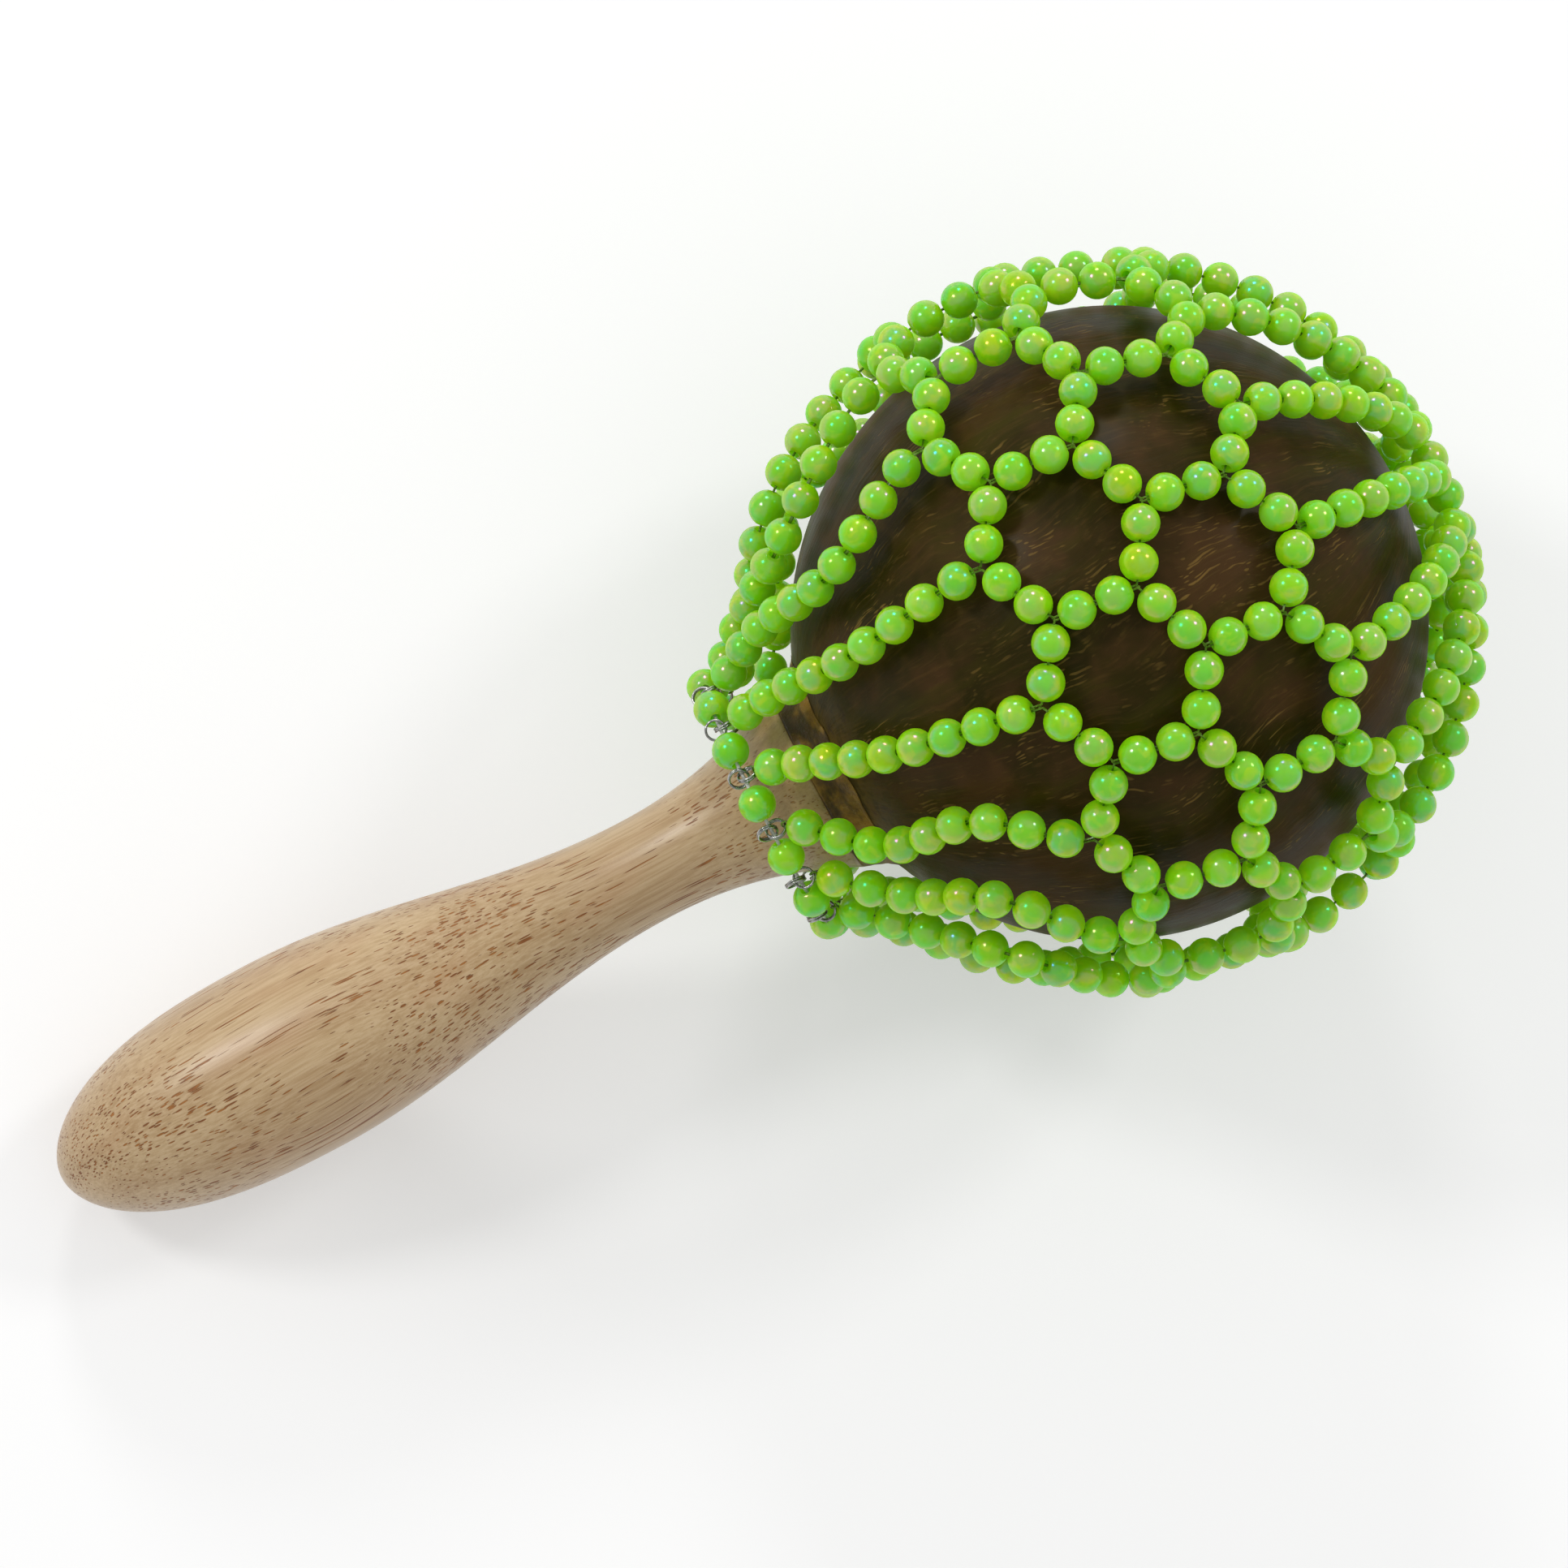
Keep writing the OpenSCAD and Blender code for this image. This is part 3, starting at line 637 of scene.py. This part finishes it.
def make_fillet(material):
    start = TENON_D / 2 + SEAT
    edge = FLARE_D / 2 + GLUE_SPREAD * GLUE_ON_SHELL
    radii = [start + (edge - start) * i / GLUE_STEPS for i in range(GLUE_STEPS + 1)]
    outline = [(shell_at(r), r) for r in radii]
    for i in range(1, GLUE_STEPS + 1):
        t = i / GLUE_STEPS
        hollow = math.sin(math.pi * t) * GLUE_SPREAD * GLUE_HOLLOW
        outline.append((shell_at(edge) * (1 - t) + (FLARE_REACH - SEAT) * t - hollow,
                        edge * (1 - t) + FLARE_D / 2 * t - hollow))
    outline.append((FLARE_REACH - SEAT, start))
    outline.append(outline[0])
    verts, faces = lathe([(-x, r) for x, r in outline], GLUE_SIDES, smeared)
    new_piece("glue_ring", to_row(verts), faces, material, "shell_and_handle", "filler",
              "glue_fillet")


# The net

STRANDS = 14

# Beads, in millimetres, with the radius at which the ball's face meets the mouth of the hole
BEAD_R, HOLE_R, RIM_R = 3.6, 1.0, 1.14
# The smallest bead's share of the full size
BEAD_LEAST = .993
BEAD_SIDES, BEAD_RINGS = 24, 13
BEAD_SEED = 4711

# In metres: how far a crossing is from each of its three beads, at least and at most, and how
# far apart they are at most
CROSSING_LEAST, CROSSING_MOST, BEADS_APART = .0042, .0053, .0096
# A knot's size in millimetres, the reach of its loops and its depth as shares of that
KNOT_SIZE, KNOT_LOOPS, KNOT_DEPTH = .13, 1.7, 1.3
KNOT_WIRE_R, KNOT_STEPS, KNOT_SIDES = .11, 36, 6
KNOT_SEED = 99

# A split ring, in millimetres, with the share of its wire that the step takes on either side
LINK_R, LINK_WIRE_R, LINK_RISE, LINK_STEP = 1.95, .25, .235, .07
# Two turns of the wire, less the opening between its ends
LINK_TURN = 2 * math.tau - .10
LINK_STEPS, LINK_SIDES = 76, 10


def bead_places(node):
    """The centre and the direction of the hole of each bead of a CAD node."""
    found = []
    for places, tris in islands(node):
        used = places[np.unique(tris)]
        rough = used.mean(axis=0)
        local = (used - rough) / MM
        # every corner of a bead lies on its sphere: a least squares fit gives the centre
        grid = np.column_stack([2 * local, np.ones(len(local))])
        best = np.linalg.lstsq(grid, (local ** 2).sum(axis=1), rcond=None)[0]
        centre = rough + best[:3] * MM
        a, b, c = (places[tris[:, i]] for i in range(3))
        out = np.cross(b - a, c - a)
        inward = (out * ((a + b + c) / 3 - centre)).sum(axis=1) < 0
        rim = places[np.unique(tris[inward])] - centre
        way = np.linalg.svd(rim - rim.mean(axis=0))[2][0]
        found.append((centre, way))
    found.sort(key=lambda item: tuple(np.round(item[0], 6)))
    return found


def bead_template():
    """A moulded bead round its hole along X, with softened mouths."""
    rim = math.asin(RIM_R / BEAD_R)
    turns = [rim + (math.pi - 2 * rim) * i / (BEAD_RINGS - 1) for i in range(BEAD_RINGS)]
    ball = [(BEAD_R * math.cos(turn), BEAD_R * math.sin(turn)) for turn in turns]
    mouth = [(3.10, HOLE_R), (3.30, HOLE_R + .02), (3.39, HOLE_R + .07)]
    outline = mouth + ball + [(-x, r) for x, r in reversed(mouth)]
    verts, faces = lathe(outline + outline[:1], BEAD_SIDES)
    # the last ring lies on the first, which closes the wall of the hole
    keep = len(verts) - BEAD_SIDES
    return np.array(verts[:keep]), np.array([[i % keep for i in face] for face in faces])


def make_beads(nodes, material):
    """A piece for each CAD node, with a bead where each of its solids is. Returns the centres."""
    chance = random.Random(BEAD_SEED)
    shape, faces = bead_template()
    every = []
    for node in nodes:
        verts, polys, tints, films = [], [], [], []
        for centre, way in bead_places(node):
            spin = Matrix.Rotation(chance.uniform(0, math.tau), 3, "X")
            aim = Vector((1, 0, 0)).rotation_difference(Vector(way)).to_matrix() @ spin
            size = chance.uniform(BEAD_LEAST, 1.0)
            polys.append(faces + len(verts) * len(shape))
            verts.append(shape * size * MM @ np.array(aim).T + centre)
            tints.append(np.full(len(shape), chance.random()))
            films.append(np.full(len(shape), chance.random()))
            every.append(centre)
        new_piece("round_" + node, np.concatenate(verts), np.concatenate(polys), material, "net",
                  "lime_bead", node, attributes={"tint": np.concatenate(tints),
                                                 "film": np.concatenate(films)})
    return np.array(every)


def crossing_places(beads):
    """Where threads cross, and the normal there: a crossing is in the middle of three beads."""
    found = []
    near = np.linalg.norm(beads[:, None] - beads[None], axis=2)
    for i in range(len(beads)):
        close = [j for j in np.nonzero(near[i] < BEADS_APART)[0] if j > i]
        for j in close:
            for k in close:
                if k <= j or near[j, k] > BEADS_APART:
                    continue
                a, b, c = beads[i], beads[j], beads[k]
                u, v = b - a, c - a
                w = np.cross(u, v)
                middle = a + (np.cross(w, u) * (v @ v) + np.cross(v, w) * (u @ u)) / (2 * (w @ w))
                if CROSSING_LEAST < np.linalg.norm(middle - a) < CROSSING_MOST:
                    found.append((middle, w / np.linalg.norm(w)))
    return found


def knot(middle, normal, start):
    """A trefoil knot of thread, turned about its normal by an angle."""
    side, other = beside(normal, [.3, .8, .5])
    path = []
    for i in range(KNOT_STEPS):
        t = math.tau * i / KNOT_STEPS
        x = math.sin(t) + KNOT_LOOPS * math.sin(2 * t)
        y = math.cos(t) - KNOT_LOOPS * math.cos(2 * t)
        z = -math.sin(3 * t)
        turned = complex(x, y) * complex(math.cos(start), math.sin(start))
        path.append(middle + MM * KNOT_SIZE * (side * turned.real + other * turned.imag
                                               + normal * z * KNOT_DEPTH))
    return tube(path, KNOT_WIRE_R * MM, KNOT_SIDES, closed=True)


def make_knots(beads, material):
    """A small knot of the nylon at each crossing, in the room that the beads leave."""
    chance = random.Random(KNOT_SEED)
    verts, faces = joined(knot(middle, normal, chance.uniform(0, math.tau))
                          for middle, normal in crossing_places(beads))
    new_piece("crossing_knots", verts, faces, material, "net", "clear_nylon")


def split_ring(centre, normal, start):
    """One wire that goes twice round, and steps over to its second turn halfway."""
    side, other = beside(normal, [.31, .77, .55])
    path = []
    for i in range(LINK_STEPS + 1):
        t = i / LINK_STEPS
        turn = start + LINK_TURN * t
        step = max(-1.0, min(1.0, (t - .5) / LINK_STEP))
        rise = math.sin(step * math.pi / 2) * LINK_RISE
        path.append(centre + MM * (LINK_R * (side * math.cos(turn) + other * math.sin(turn))
                                   + normal * rise))
    return tube(path, LINK_WIRE_R * MM, LINK_SIDES)


def make_split_rings(name, node, material, seed):
    """A split ring where each of a CAD node's solids is."""
    chance = random.Random(seed)
    rings = []
    for places, tris in islands(node):
        used = places[np.unique(tris)]
        centre = used.mean(axis=0)
        normal = np.linalg.svd(used - centre)[2][2]
        rings.append(split_ring(centre, normal, chance.uniform(0, math.tau)))
    new_piece(name, *joined(rings), material, "net", "plated_steel", node)


def dress(node, material):
    """A CAD node that shows as it is, in another material."""
    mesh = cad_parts[node].data
    mesh.materials.clear()
    mesh.materials.append(material)


# The scene

bpy.context.scene.view_settings.view_transform = "Standard"
camera_turn = make_camera()
for lamp_name, (lamp_way, lamp_power) in LAMPS.items():
    make_lamp(lamp_name, lamp_way, lamp_power, camera_turn)
make_world()
make_floor()

make_handle(wood())
make_shell(shell_skin())
make_fillet(glue())

steel_paint = steel()
make_split_rings("strand_side_rings", "strand_split_rings", steel_paint, seed=17)
make_split_rings("neck_side_rings", "neck_split_rings", steel_paint, seed=23)

bead_nodes = ["strand_beads_%d" % (k + 1) for k in range(STRANDS)] + ["neck_beads", "crown_beads"]
bead_centres = make_beads(bead_nodes, lime_bead())

nylon_paint = nylon()
for k in range(STRANDS):
    dress("thread_%d" % (k + 1), nylon_paint)
twine_paint = twine()
dress("neck_cord", twine_paint)
dress("crown_cord", twine_paint)
make_knots(bead_centres, nylon_paint)

bpy.context.view_layer.update()
